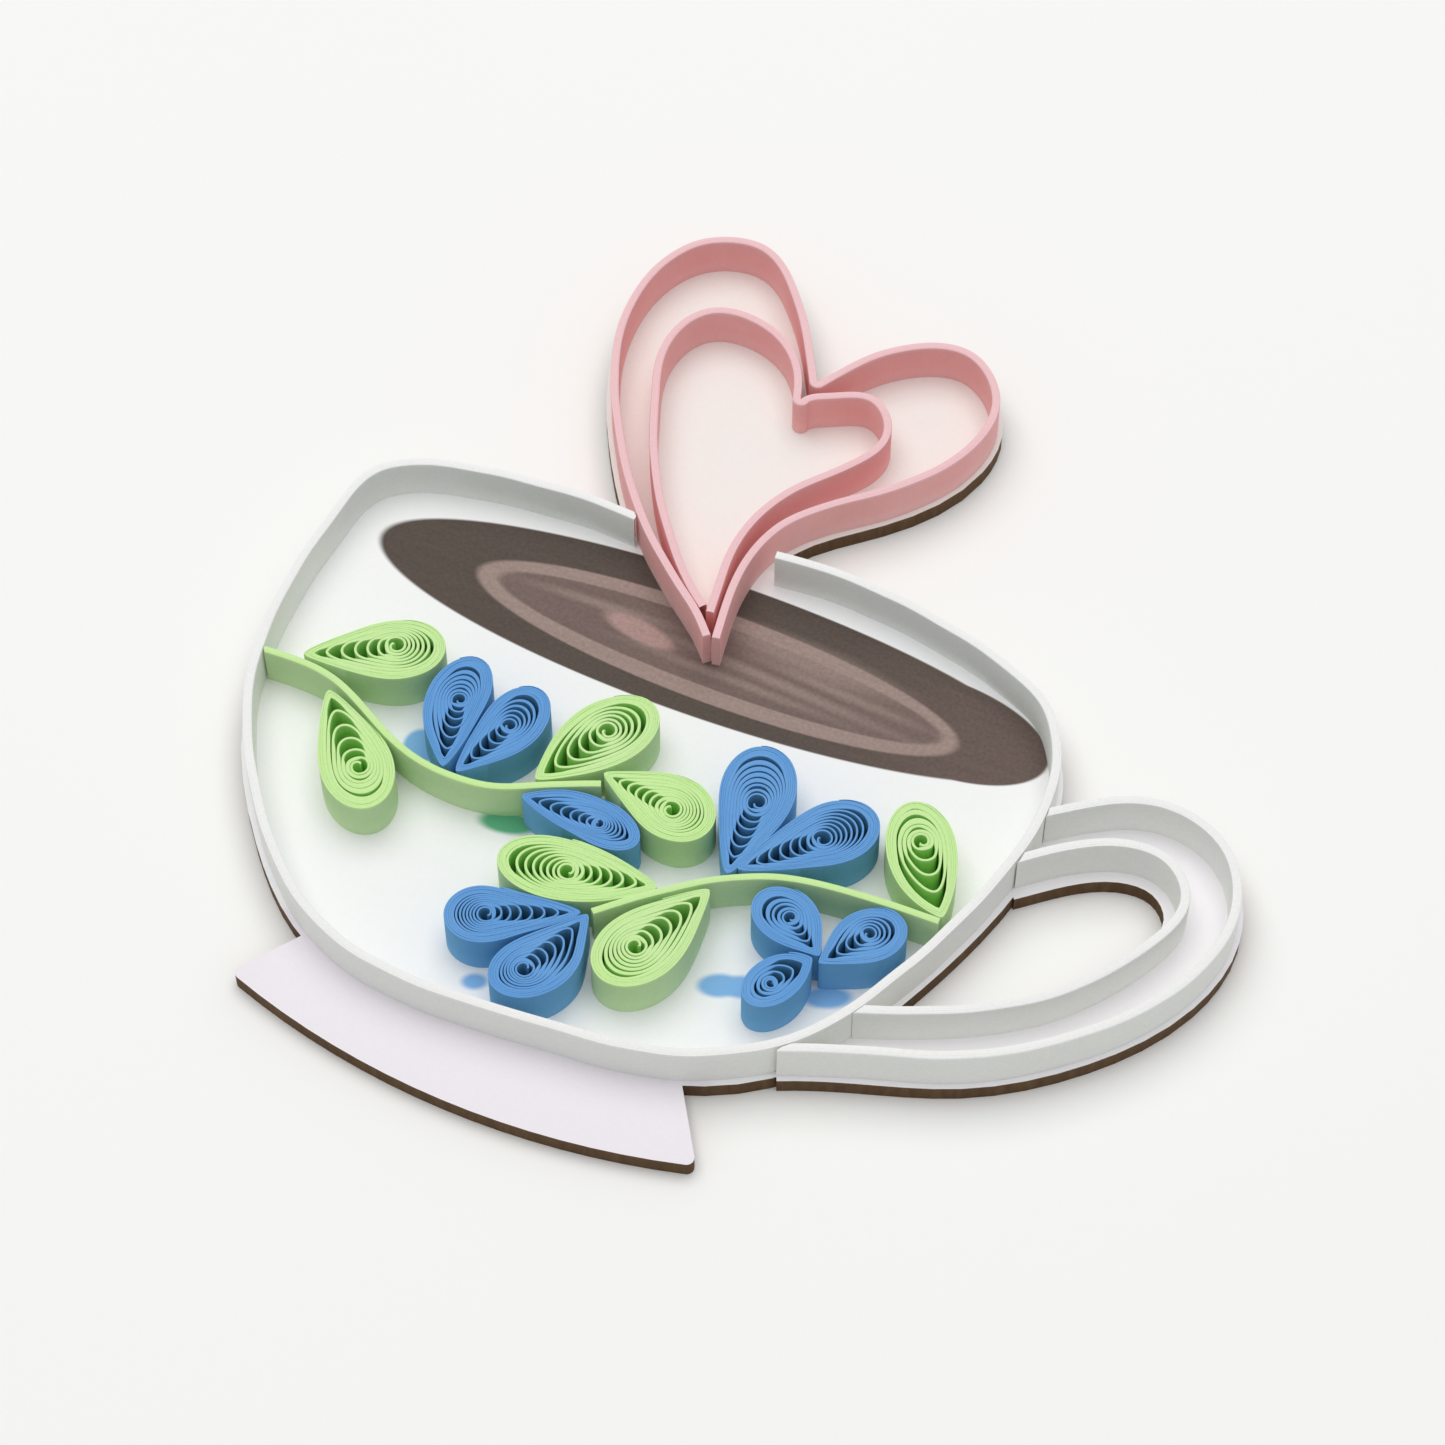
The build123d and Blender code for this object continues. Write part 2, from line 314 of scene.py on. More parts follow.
class Bench:
    """The nodes of one material, or of the world, added and joined step by step."""

    def __init__(self, owner: bpy.types.Material | bpy.types.World) -> None:
        """Starts the owner's nodes anew."""
        owner.use_nodes = True
        self.owner = owner
        self.tree = owner.node_tree
        self.tree.nodes.clear()

    def set_input(self, socket: Socket, value: Value | Tint) -> None:
        """Joins a socket to another, or gives it a plain value or colour."""
        if isinstance(value, Socket):
            self.tree.links.new(value, socket)
        elif isinstance(value, tuple) and socket.type == "RGBA":
            socket.default_value = (*value, 1.0)
        else:
            socket.default_value = value

    def node(self, kind: str, *inputs: Value | Tint | None, **settings: object) -> bpy.types.Node:
        """Adds a node.

        Args:
            kind: The node's type, without its leading ShaderNode.
            inputs: Values for its first inputs, in order; None leaves one alone.
            settings: The node's own settings.

        Returns:
            The node.
        """
        node = self.tree.nodes.new(f"ShaderNode{kind}")
        for name, value in settings.items():
            setattr(node, name, value)
        for socket, value in zip(node.inputs, inputs):
            if value is not None:
                self.set_input(socket, value)
        return node

    def maths(self, operation: str, *values: Value) -> Socket:
        """Result of a sum on one to three values."""
        return self.node("Math", *values, operation=operation).outputs[0]

    def times(self, first: Value, second: Value) -> Socket:
        """Product of two values."""
        return self.maths("MULTIPLY", first, second)

    def between(self, share: Socket, low: float, high: float) -> Socket:
        """A value between 0 and 1, spread evenly from low to high."""
        return self.maths("MULTIPLY_ADD", share, high - low, low)

    def stretch(self, value: Value, low: float, high: float) -> Socket:
        """Smooth rise from 0 at low to 1 at high; low may be the larger."""
        node = self.node("MapRange", value, low, high, interpolation_type="SMOOTHSTEP")
        return node.outputs[0]

    def blend(self, share: Value, first: Tint, second: Tint, how: str = "MIX") -> Socket:
        """Mix of two colours, by the share of the second."""
        node = self.node("Mix", data_type="RGBA", blend_type=how)
        self.set_input(node.inputs[0], share)
        self.set_input(node.inputs[6], first)
        self.set_input(node.inputs[7], second)
        return node.outputs[2]

    def dimmed(self, colour: Tint, light: Socket) -> Socket:
        """Colour times a grey light."""
        grey = self.node("CombineXYZ", light, light, light).outputs[0]
        return self.blend(1.0, colour, grey, "MULTIPLY")

    def noise(self, place: Socket, scale: float, detail: float = 3.0, rough: float = 0.55) -> Socket:
        """Noise between 0 and 1 at this place, with scale in waves a metre."""
        node = self.node("TexNoise", place)
        node.inputs["Scale"].default_value = scale
        node.inputs["Detail"].default_value = detail
        node.inputs["Roughness"].default_value = rough
        return node.outputs[0]

    def object_place(self) -> Socket:
        """Object coordinates, in metres."""
        return self.node("TexCoord").outputs["Object"]

    def axis(self, place: Socket, number: int) -> Socket:
        """One part of a place or direction: 0 for x, 1 for y, 2 for z."""
        return self.node("SeparateXYZ", place).outputs[number]

    def attribute(self, name: str) -> Socket:
        """A mark that ribbon_mesh has left on a mesh's points."""
        return self.node("Attribute", attribute_name=name).outputs["Fac"]

    def mapped(
        self, place: Socket, scale: Point, move: Point = (0.0, 0.0, 0.0), turn: float = 0.0,
        kind: str = "POINT",
    ) -> Socket:
        """Place scaled, turned about z and moved by a Mapping node of this kind."""
        node = self.node("Mapping", place, move, (0.0, 0.0, turn), scale, vector_type=kind)
        return node.outputs[0]

    def upward(self) -> Socket:
        """How far a face looks up: 1 on the card's face and on cut edges, 0 on walls."""
        return self.axis(self.node("NewGeometry").outputs["True Normal"], 2)

    def bump(self, height: Socket, depth: float, under: Socket | None = None) -> Socket:
        """Normal bent by a height between 0 and 1, over a depth in metres."""
        node = self.node("Bump")
        node.inputs["Strength"].default_value = 1.0
        node.inputs["Distance"].default_value = depth
        self.set_input(node.inputs["Height"], height)
        if under is not None:
            self.set_input(node.inputs["Normal"], under)
        return node.outputs[0]

    def finish(self, colour: Tint, roughness: Value, normal: Socket | None) -> bpy.types.Material:
        """Ends the material in a matte surface.

        Args:
            colour: Its colour.
            roughness: Its roughness.
            normal: Its bent normal, if any.

        Returns:
            The material.
        """
        shader = self.node("BsdfPrincipled")
        shader.inputs["Specular IOR Level"].default_value = PAPER_GLOSS
        self.set_input(shader.inputs["Base Color"], colour)
        self.set_input(shader.inputs["Roughness"], roughness)
        if normal is not None:
            self.set_input(shader.inputs["Normal"], normal)
        self.node("OutputMaterial", shader.outputs[0])
        return self.owner


@dataclass(frozen=True)
class PaperFinish:
    """Matte dyed paper, its cut edge lighter than its faces, partly as painted light and shade.

    Attributes:
        name: Name of the material.
        edge: Colour of the cut edge and other faces that look up, partly painted light from above.
        wall: Colour of the paper's faces, partly painted shade.
        faded_and_bounce: Colour of its palest patches, and painted bounce light at a wall's foot.
        fading: Share of that colour in the pale patches at most.
        layers: Thickness of one layer of paper in the cut edge, in millimetres.
        gaps: Colour of the walls between a coil's turns: painted light bounced between them.
        rim_band: How far under the rim the wall pales towards the edge's colour, in millimetres.
        rim_band_share: How pale it is there, between the wall's colour and the edge's.
        bounce_band: How far up from the card the wall takes painted bounce light, in millimetres.
        bounce_share: How strong that painted bounce light is, up to the pale colour.
        patches: Pale patches in a metre.
        fibres: Fibres in a metre.
        fibre_relief: Height of the fibres, in metres.
        layer_relief: Height of the layers in the cut edge, in metres.
    """

    name: str
    edge: Colour
    wall: Colour
    faded_and_bounce: Colour
    fading: float
    layers: float = 0.0
    gaps: Colour | None = None
    rim_band: float = 0.55
    rim_band_share: float = 0.6
    bounce_band: float = 2.6
    bounce_share: float = 0.45
    patches: float = 110.0
    fibres: float = 2600.0
    fibre_relief: float = 0.00004
    layer_relief: float = 0.000012

    def material(self, drawing: Drawing) -> bpy.types.Material:
        """Builds the material.

        The colour goes from the wall's to the edge's where a face looks up, partly as painted light
        from above, and in a band close under the rim, and towards the pale colour at the foot as
        painted bounce light from the white card. Between a coil's turns it takes the gaps' colour,
        painted light bounced between the turns and shining through them. Two noises mottle it, and
        fine fibres and the cut edge's layers raise it.

        Args:
            drawing: Gives the heights of the card's face and of the strips' upper edges.

        Returns:
            The material.
        """
        bench = Bench(bpy.data.materials.new(self.name))
        place = bench.object_place()
        height = bench.axis(place, 2)
        # Faces that look up take the edge's colour: partly the cut's own paler tone, partly painted
        # light from above.
        cut = bench.stretch(bench.upward(), 0.2, 0.8)
        # A band close under the rim pales towards the edge's colour.
        rim = bench.stretch(height, (drawing.top - self.rim_band) / 1000, (drawing.top - 0.02) / 1000)
        pale = bench.maths("MAXIMUM", cut, bench.times(rim, self.rim_band_share))
        # Painted bounce light: the wall pales towards its foot, as if lit by the white card.
        low = bench.stretch(height, (drawing.face + self.bounce_band) / 1000, drawing.face / 1000)
        wall = bench.blend(bench.times(low, self.bounce_share), self.wall, self.faded_and_bounce)
        # Painted light between a coil's turns, standing for light bounced between them and shining
        # through them.
        if self.gaps:
            wall = bench.blend(bench.attribute("inside"), wall, self.gaps)
        colour = bench.blend(pale, wall, self.edge)

        cloudy = bench.stretch(bench.noise(place, self.patches, 2.0), 0.35, 0.75)
        colour = bench.blend(bench.times(cloudy, self.fading), colour, self.faded_and_bounce)
        fibre = bench.noise(place, self.fibres, 4.0, 0.7)
        speck = bench.stretch(fibre, 0.3, 0.75)
        colour = bench.dimmed(colour, bench.between(speck, 0.96, 1.01))

        normal = bench.bump(fibre, self.fibre_relief)
        if self.layers:
            phase = bench.times(bench.attribute("across"), 2 * np.pi / self.layers)
            layer = bench.times(bench.maths("SINE", phase), cut)
            normal = bench.bump(layer, self.layer_relief, normal)
        return bench.finish(colour, bench.between(fibre, 0.78, 0.9), normal)


# Edge colours hold painted light from above and wall colours painted shade, each partly the paper's own
# tone; gap colours are painted light between a coil's turns.
PAPERS = {
    Slot.WHITE: PaperFinish(
        "white_strip_paper", edge=(0.95, 0.95, 0.945), wall=(0.87, 0.88, 0.845),
        faded_and_bounce=(0.92, 0.92, 0.90), fading=0.2, layers=0.25,
    ),
    Slot.PINK: PaperFinish(
        "pink_strip_paper", edge=(0.92, 0.59, 0.62), wall=(0.87, 0.43, 0.42),
        faded_and_bounce=(0.92, 0.62, 0.62), fading=0.25, layers=0.3,
    ),
    Slot.GREEN: PaperFinish(
        "green_coil_paper", edge=(0.62, 0.90, 0.37), wall=(0.53, 0.74, 0.39),
        faded_and_bounce=(0.68, 0.86, 0.53), fading=0.22, gaps=(0.44, 0.87, 0.21),
    ),
    Slot.BLUE: PaperFinish(
        "blue_coil_paper", edge=(0.135, 0.36, 0.74), wall=(0.13, 0.37, 0.65),
        faded_and_bounce=(0.22, 0.46, 0.76), fading=0.25, gaps=(0.14, 0.38, 0.58),
    ),
}


@dataclass(frozen=True)
class Oval:
    """A printed oval on the card, in the drawing's millimetres."""

    middle: Place
    half_length: float
    half_width: float
    tilt: float = 0.0

    def level(self, bench: Bench, sheet: Socket) -> Socket:
        """Distance from the oval's middle as a share of its edge's, so 1 on the edge."""
        across = bench.mapped(
            sheet, (self.half_length, self.half_width, 1.0), (*self.middle, 0.0),
            float(np.radians(self.tilt)), "TEXTURE",
        )
        return bench.node("VectorMath", across, operation="LENGTH").outputs["Value"]

    def inside(self, bench: Bench, sheet: Socket, soft: float = 0.12) -> Socket:
        """1 inside the oval and 0 outside, with a soft rim of about this many millimetres."""
        rim = soft / self.half_width
        return bench.stretch(self.level(bench, sheet), 1 + rim, 1 - rim)

    def outside(self, bench: Bench, sheet: Socket, soft: float) -> Socket:
        """0 inside the oval and 1 outside, with the same soft rim."""
        return bench.maths("SUBTRACT", 1.0, self.inside(bench, sheet, soft))


@dataclass(frozen=True)
class PrintedCard:
    """White card, printed with the coffee, its swirl and a few coloured spots.

    Print is plain fields of colour: ovals, rings and streaks worked out from the drawing. The
    cut edge is scorched brown, and the back is bare board.
    """

    # Colours of the bare face, the back, the scorched edge and the prints
    cup_white: Colour = (0.95, 0.955, 0.96)
    foot_lavender: Colour = (0.89, 0.85, 0.905)
    # Painted light: the handle's face is the foot's lavender made lighter, to brighten the shade
    # between the handle's strips.
    lit_handle_lavender: Colour = (0.955, 0.935, 0.965)
    cream: Colour = (0.91, 0.89, 0.865)
    board_back: Colour = ink(196, 176, 146)
    scorch: Colour = ink(84, 62, 40)
    scorch_pale: Colour = ink(118, 92, 64)
    coffee_dark: Colour = ink(88, 77, 71)
    coffee_right: Colour = ink(104, 89, 83)
    coffee_mid: Colour = ink(118, 100, 95)
    swirl: Colour = ink(158, 138, 131)
    cream_fleck: Colour = ink(172, 142, 136)
    green_spot: Colour = ink(96, 178, 136)
    blue_spot: Colour = ink(134, 186, 233)

    # Coffee and its blunt right end, the cream ring and what floats inside it
    coffee: Oval = Oval((0.2, -1.5), 38.5, 8.8, 2.0)
    coffee_end: Oval = Oval((26.2, -0.3), 12.5, 6.0, -0.1)
    swirl_outside: Oval = Oval((1.3, -2.3), 27.9, 5.8, 0.8)
    swirl_inside: Oval = Oval((1.6, -2.2), 25.6, 4.0, 0.9)
    fleck: Oval = Oval((-7.4, -2.6), 4.2, 1.3, -8.0)
    pale_patch: Oval = Oval((10.5, 1.6), 9.5, 1.7, -2.0)
    streaks: tuple[Oval, ...] = (
        Oval((9.0, -2.6), 12.0, 0.55, -3.0),
        Oval((15.5, -1.0), 7.5, 0.45, -2.0),
        Oval((-12.5, -1.2), 6.5, 0.5, 4.0),
        Oval((5.0, -4.3), 9.0, 0.4),
    )

    # Guide spots beside the coils
    blue_spots: tuple[Oval, ...] = (
        Oval((18.9, -38.6), 2.2, 1.35, 25.0),
        Oval((21.0, -37.8), 1.8, 1.3, 25.0),
        Oval((29.3, -35.3), 2.5, 1.2, 25.0),
        Oval((-21.6, -25.6), 1.9, 2.1, 25.0),
        Oval((-3.6, -48.6), 1.3, 0.9, 25.0),
    )
    green_spots: tuple[Oval, ...] = (
        Oval((-9.1, -30.3), 3.0, 1.3, 14.0),
        Oval((-28.4, -31.0), 0.7, 1.6),
    )

    # Where the bare face changes colour, hidden under the strips: arcs along the cup's bottom and
    # side, the stretch of y or x where the foot and the handle start, and the heart between two
    # lines, each a slope and a start of x over y, from its tip up to the rim and all above it
    cup_bottom: Oval = Oval((-1.9, 9.1), 62.4, 62.4)
    cup_side: Oval = Oval((-25.5, -5.3), 66.8, 66.8)
    foot_start: Place = (-48.5, -49.5)
    handle_start: Place = (28.0, 29.0)
    heart_left: Place = (-1.1, -2.93)
    heart_right: Place = (-0.13, 1.384)
    heart_tip: float = -2.9
    rim: float = 10.5
    region_soft: float = 0.2

    # Stretch of x over which the coffee reddens, and how soft and how strong prints are
    coffee_turn: Place = (8.0, 34.0)
    patch_soft: float = 1.2
    patch_share: float = 0.75
    streak_soft: float = 0.5
    streak_share: float = 0.7
    spot_soft: float = 0.35

    # Pale rim of the scorched edge in millimetres; its streaks, the back's flecks and the face's
    # fibres in a metre; and the height of the fibres in metres
    singed_rim: float = 0.35
    singed_streaks: float = 1500.0
    board_flecks: float = 420.0
    fibres: float = 1900.0
    fibre_relief: float = 0.00003

    def heart_area(self, bench: Bench, sheet: Socket) -> Socket:
        """1 inside the heart and 0 outside."""
        x, y = bench.axis(sheet, 0), bench.axis(sheet, 1)
        past_left = bench.maths("GREATER_THAN", x, bench.maths("MULTIPLY_ADD", y, *self.heart_left))
        before_right = bench.maths("LESS_THAN", x, bench.maths("MULTIPLY_ADD", y, *self.heart_right))
        over_tip = bench.maths("GREATER_THAN", y, self.heart_tip)
        wedge = bench.times(bench.times(past_left, before_right), over_tip)
        return bench.maths("MAXIMUM", wedge, bench.maths("GREATER_THAN", y, self.rim))

    def bare_face(self, bench: Bench, sheet: Socket, heart: Socket) -> Socket:
        """Colours the bare face: white in the cup, cream in the heart, lavender elsewhere, with painted
        light making the handle's lavender lighter than the foot's.

        Args:
            bench: The material's bench.
            sheet: The drawing's place in millimetres, with no height.
            heart: 1 inside the heart and 0 outside.

        Returns:
            The colour.
        """
        below = bench.stretch(bench.axis(sheet, 1), *self.foot_start)
        beside = bench.stretch(bench.axis(sheet, 0), *self.handle_start)
        foot = bench.times(self.cup_bottom.outside(bench, sheet, self.region_soft), below)
        handle = bench.times(self.cup_side.outside(bench, sheet, self.region_soft), beside)
        colour = bench.blend(foot, self.cup_white, self.foot_lavender)
        # Painted light on the handle's face, lighter than the foot's lavender.
        colour = bench.blend(handle, colour, self.lit_handle_lavender)
        return bench.blend(heart, colour, self.cream)

    def printed(self, bench: Bench, sheet: Socket, bare: Socket, heart: Socket) -> Socket:
        """Lays the prints over the bare face.

        Args:
            bench: The material's bench.
            sheet: The drawing's place in millimetres, with no height.
            bare: Colour of the bare face.
            heart: 1 inside the heart, where no coffee lies, and 0 outside.

        Returns:
            The printed colour.
        """
        grain = bench.noise(sheet, 2.2, 3.0, 0.7)
        drift = bench.noise(bench.mapped(sheet, (0.12, 1.1, 1.0)), 1.0)
        rightward = bench.stretch(bench.axis(sheet, 0), *self.coffee_turn)
        in_ring = self.swirl_inside.inside(bench, sheet)
        brown = bench.blend(rightward, self.coffee_dark, self.coffee_right)
        brown = bench.blend(in_ring, brown, self.coffee_mid)
        patch = bench.times(self.pale_patch.inside(bench, sheet, self.patch_soft), self.patch_share)
        brown = bench.blend(patch, brown, self.swirl)
        for streak in self.streaks:
            shown = bench.times(streak.inside(bench, sheet, self.streak_soft), self.streak_share)
            brown = bench.blend(shown, brown, self.swirl)
        ring = bench.maths("SUBTRACT", self.swirl_outside.inside(bench, sheet), in_ring)
        brown = bench.blend(ring, brown, self.swirl)
        brown = bench.blend(self.fleck.inside(bench, sheet, self.spot_soft), brown, self.cream_fleck)
        light = bench.times(bench.between(grain, 0.65, 1.35), bench.between(drift, 0.88, 1.12))
        brown = bench.dimmed(brown, light)

        poured = bench.maths(
            "MAXIMUM", self.coffee.inside(bench, sheet), self.coffee_end.inside(bench, sheet)
        )
        shown = bench.times(poured, bench.maths("SUBTRACT", 1.0, heart))
        colour = bench.blend(shown, bare, brown)
        for spots, tint in ((self.blue_spots, self.blue_spot), (self.green_spots, self.green_spot)):
            for spot in spots:
                colour = bench.blend(spot.inside(bench, sheet, self.spot_soft), colour, tint)
        return colour

    def material(self, drawing: Drawing) -> bpy.types.Material:
        """Builds the material of the card and of the prints that lie flush in it.

        Args:
            drawing: Gives the card's middle and the height of its face.

        Returns:
            The material.
        """
        bench = Bench(bpy.data.materials.new("printed_card"))
        place = bench.object_place()
        sheet = bench.mapped(place, (1000.0, 1000.0, 0.0), (*drawing.middle, 0.0))
        heart = self.heart_area(bench, sheet)
        face = self.printed(bench, sheet, self.bare_face(bench, sheet, heart), heart)

        near_face = bench.stretch(
            bench.axis(place, 2), (drawing.face - self.singed_rim) / 1000, drawing.face / 1000
        )
        streak = bench.noise(bench.mapped(place, (1.0, 1.0, 0.2)), self.singed_streaks)
        singed = bench.times(bench.stretch(streak, 0.2, 0.9), 0.6)
        burn = bench.blend(singed, self.scorch, self.scorch_pale)
        burn = bench.blend(bench.times(near_face, 0.5), burn, self.scorch_pale)

        up = bench.upward()
        colour = bench.blend(bench.stretch(up, 0.3, 0.7), burn, face)
        flecks = bench.noise(place, self.board_flecks, 4.0)
        mottled = bench.blend(flecks, self.board_back, self.scorch_pale)
        colour = bench.blend(bench.stretch(up, -0.3, -0.7), colour, mottled)

        fibre = bench.noise(place, self.fibres, 4.0, 0.7)
        colour = bench.dimmed(colour, bench.between(fibre, 0.97, 1.02))
        normal = bench.bump(fibre, self.fibre_relief)
        return bench.finish(colour, bench.between(fibre, 0.72, 0.87), normal)


# Strips on edge


@dataclass(frozen=True)
class PaperStrip:
    """One strip stood on edge, folded where two legs meet and cut to what it butts on.

    Attributes:
        node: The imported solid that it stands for.
        legs: Middle lines of its legs.
        paper: Its thickness in millimetres.
        slot: The record's slot of its finish.
        stops: Lines that its ends butt on, each with that strip's thickness.
        seed: Number that picks its waves.
        wave: How far its edge strays sideways, in millimetres.
        lift: How far its upper edge rises or falls, in millimetres.
        waves: Lengths of the waves sideways, in millimetres.
        lift_waves: Lengths of the waves of its upper edge, in millimetres.
        lift_seed: Added to the seed for those waves.
        calm: Length of each end that hardly strays, in millimetres.
        fold_radius: Radius of a fold along the paper's middle, in millimetres.
        glue_gap: Gap to the strip that an end butts on, in millimetres.
        spacing: Distance between samples, in millimetres.
        corner: Size of the round along its upper corners, in millimetres.
        crown: How far its upper edge bulges, in millimetres.
    """

    node: str
    legs: tuple[Line, ...]
    paper: float
    slot: Slot
    stops: tuple[tuple[Line, float], ...] = ()
    seed: int = 1
    wave: float = 0.05
    lift: float = 0.06
    waves: tuple[float, ...] = (9.0, 17.0, 31.0)
    lift_waves: tuple[float, ...] = (7.0, 13.0, 29.0)
    lift_seed: int = 50
    calm: float = 4.0
    fold_radius: float = 0.5
    glue_gap: float = 0.08
    spacing: float = 0.22
    corner: float = 0.13
    crown: float = 0.02

    def middle_line(self) -> np.ndarray:
        """Samples of the strip's middle line, with its fold rounded."""
        line = smooth_line(self.legs[0], self.spacing)
        for leg in self.legs[1:]:
            line = fold_legs(line, smooth_line(leg, self.spacing), self.fold_radius)
        return even_line(line, self.spacing)

    def section(self, height: float) -> np.ndarray:
        """Places across and up of a section with rounded upper corners."""
        half = self.paper / 2
        cut = self.corner
        right = [(-half, 0.0), (-half, height - cut), (-half + 0.3 * cut, height - 0.3 * cut)]
        top = [(-half + cut, height), (0.0, height + self.crown), (half - cut, height)]
        left = [(-across, up) for across, up in reversed(right)]
        return np.array(right + top + left)

    def cut_ends(self, line: np.ndarray, across: np.ndarray) -> tuple[np.ndarray, np.ndarray]:
        """Where each lengthwise line of the strip starts and ends.

        A line starts at the first sample that lies clear of every strip that the end butts on,
        and ends at the last one, so the cut follows that strip's wall.

        Args:
            line: Samples of the strip's middle line.
            across: Distance of each lengthwise line from the middle line.

        Returns:
            Distances from the middle line's start, for the starts and for the ends.
        """
        stations = line_stations(line)
        starts = np.zeros(len(across))
        ends = np.full(len(across), stations[-1])
        normals = left_of(line)
        half = len(line) // 2
        for stop, width in self.stops:
            wall = smooth_line(stop, self.spacing)
            sides = line[None] + normals[None] * across[:, None, None]
            gaps = np.linalg.norm(sides[:, :, None] - wall[None, None], axis=-1).min(axis=-1)
            blocked = gaps < width / 2 + self.glue_gap
            places = np.broadcast_to(stations, blocked.shape)
            before = np.where(blocked[:, :half], places[:, :half], -1).max(axis=1)
            after = np.where(blocked[:, half:], places[:, half:], np.inf).min(axis=1)
            starts = np.maximum(starts, before + self.spacing * (before >= 0))
            ends = np.minimum(ends, after - self.spacing)
        return starts, ends

    def mesh(self, drawing: Drawing) -> bpy.types.Mesh:
        """Carries the section along the middle line.

        A point is the middle line's place, plus the left normal times its place across and a
        small wave that turns with the line, and its height plus a small lift.

        Args:
            drawing: Gives the heights and the frame.

        Returns:
            The strip's mesh.
        """
        line = self.middle_line()
        stations = line_stations(line)
        section = self.section(drawing.top - drawing.face)
        starts, ends = self.cut_ends(line, section[:, 0])
        steps = np.linspace(0, 1, len(line))[:, None]
        places = starts + (ends - starts) * steps
        middles = along_line(line, stations, places)
        normals = along_line(left_of(line), stations, places)
        stray = self.wave * ripple(places, self.seed, self.waves)
        freed = np.minimum(1.0, np.minimum(places - starts, ends - places) / self.calm)
        across = section[:, 0] + stray * freed
        lifted = self.lift * ripple(places, self.seed + self.lift_seed, self.lift_waves)
        up = section[:, 1] + (section[:, 1] > 0) * lifted
        flat = middles + normals * across[..., None]
        grid = np.concatenate((flat, (drawing.face + up)[..., None]), axis=-1)
        shown_across = np.broadcast_to(section[:, 0], places.shape)
        return ribbon_mesh(self.node, drawing.to_frame(grid), {"across": shown_across})


# Rolled coils


